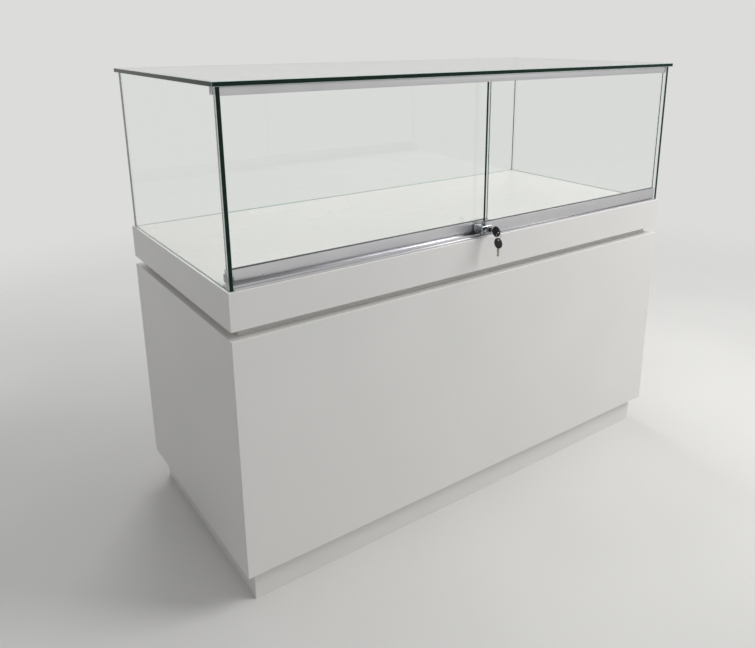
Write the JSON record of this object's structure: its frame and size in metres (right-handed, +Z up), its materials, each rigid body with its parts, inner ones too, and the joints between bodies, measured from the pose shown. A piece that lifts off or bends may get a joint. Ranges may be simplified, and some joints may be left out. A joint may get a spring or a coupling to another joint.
{
  "type": "jewelry display counter",
  "caption": "White shop counter with a closed base and a glass showcase above, reached through two sliding glass doors on aluminium tracks, with a cylinder lock and keys.",
  "frame": {"origin": "on the floor at the middle of the counter, on the underside of the plinth stretcher", "axes": "+X along the counter, +Y from the sliding doors to the back pane, +Z up"},
  "size_m": [1.204, 0.5973, 1],
  "materials": {
    "white_lacquer": "satin white lacquer on MDF",
    "raw_board": "melamine-faced board",
    "beech": "bare beech",
    "clear_glass": "clear float glass with polished edges",
    "anodised_aluminium": "satin anodised",
    "zinc_screw": "zinc plated",
    "grey_plastic": "moulded, matt",
    "nylon": "moulded nylon",
    "soft_strip": "soft grey vinyl",
    "steel_pin": "bright turned steel",
    "chrome": "chrome plated",
    "black_plug": "black finish",
    "black_plastic": "moulded, semi-gloss",
    "nickel_key": "nickel plated",
    "ring_wire": "bright wire"
  },
  "bodies": {
    "counter": {"plinth_front": "white_lacquer", "plinth_back": "white_lacquer", "plinth_left": "white_lacquer", "plinth_right": "white_lacquer", "cabinet_front": "white_lacquer", "cabinet_back": "white_lacquer", "cabinet_left": "white_lacquer", "cabinet_right": "white_lacquer", "neck_board": "white_lacquer", "deck_front_rail": "white_lacquer", "deck_back_rail": "white_lacquer", "deck_left_rail": "white_lacquer", "deck_right_rail": "white_lacquer", "display_floor": "white_lacquer", "plinth_stretcher": "raw_board", "plinth_blocks": "raw_board", "cabinet_bottom": "raw_board", "cabinet_top": "raw_board", "cabinet_divider": "raw_board", "deck_bottom": "raw_board", "deck_bearer_left": "raw_board", "deck_bearer_centre": "raw_board", "deck_bearer_right": "raw_board", "cabinet_dowels": "beech", "glass_left": "clear_glass", "glass_right": "clear_glass", "glass_back": "clear_glass", "glass_top": "clear_glass", "top_track": "anodised_aluminium", "bottom_track": "anodised_aluminium", "plinth_screws": "zinc_screw", "neck_screws": "zinc_screw", "bottom_track_screws": "zinc_screw", "top_track_liners": "grey_plastic", "door_bumpers": "soft_strip"},
    "front_door": {"front_door_shoe": "anodised_aluminium", "front_door_gasket": "soft_strip", "front_door_end_caps": "grey_plastic", "front_door_glass": "clear_glass", "front_door_axles": "steel_pin", "lock_case": "chrome", "lock_screws": "chrome", "lock_bolt": "steel_pin", "lock_barrel": "chrome"},
    "rear_door": {"rear_door_shoe": "anodised_aluminium", "rear_door_gasket": "soft_strip", "rear_door_end_caps": "grey_plastic", "rear_door_glass": "clear_glass", "rear_door_axles": "steel_pin"},
    "front_roller_left": {"front_roller_left": "nylon"},
    "front_roller_right": {"front_roller_right": "nylon"},
    "rear_roller_left": {"rear_roller_left": "nylon"},
    "rear_roller_right": {"rear_roller_right": "nylon"},
    "lock_plug": {"lock_plug": "black_plug", "key_bow": "black_plastic", "key_blade": "nickel_key"},
    "key_ring": {"key_ring": "ring_wire"},
    "spare_key": {"spare_key_bow": "black_plastic", "spare_key_blade": "nickel_key"}
  },
  "joints": [
    {"name": "front_door_slide", "type": "slide", "parent": "counter", "child": "front_door", "axis": [1, 0, 0], "range_m": [-0.5515, 0]},
    {"name": "rear_door_slide", "type": "slide", "parent": "counter", "child": "rear_door", "axis": [1, 0, 0], "range_m": [0, 0.5715]},
    {"name": "front_roller_left_turn", "type": "hinge", "parent": "front_door", "child": "front_roller_left", "pos_m": [0.048, -0.263, 0.6622], "axis": [0, 1, 0], "continuous": true},
    {"name": "front_roller_right_turn", "type": "hinge", "parent": "front_door", "child": "front_roller_right", "pos_m": [0.5235, -0.263, 0.6622], "axis": [0, 1, 0], "continuous": true},
    {"name": "rear_roller_left_turn", "type": "hinge", "parent": "rear_door", "child": "rear_roller_left", "pos_m": [-0.5235, -0.245, 0.6622], "axis": [0, 1, 0], "continuous": true},
    {"name": "rear_roller_right_turn", "type": "hinge", "parent": "rear_door", "child": "rear_roller_right", "pos_m": [-0.048, -0.245, 0.6622], "axis": [0, 1, 0], "continuous": true},
    {"name": "lock_plug_turn", "type": "hinge", "parent": "front_door", "child": "lock_plug", "pos_m": [-0.01, -0.281, 0.6675], "axis": [0, 1, 0], "range_deg": [0, 90]},
    {"name": "key_ring_swing", "type": "hinge", "parent": "lock_plug", "child": "key_ring", "pos_m": [-0.01, -0.3088, 0.6664], "axis": [1, 0, 0], "range_deg": [-60, 5]},
    {"name": "spare_key_swing", "type": "hinge", "parent": "key_ring", "child": "spare_key", "pos_m": [-0.01, -0.3088, 0.652], "axis": [1, 0, 0], "range_deg": [-40, 10]}
  ],
  "couplings": [
    {"joint": "front_roller_left_turn", "follows": "front_door_slide", "rad_per_m": 192.31},
    {"joint": "front_roller_right_turn", "follows": "front_door_slide", "rad_per_m": 192.31},
    {"joint": "rear_roller_left_turn", "follows": "rear_door_slide", "rad_per_m": 192.31},
    {"joint": "rear_roller_right_turn", "follows": "rear_door_slide", "rad_per_m": 192.31}
  ]
}
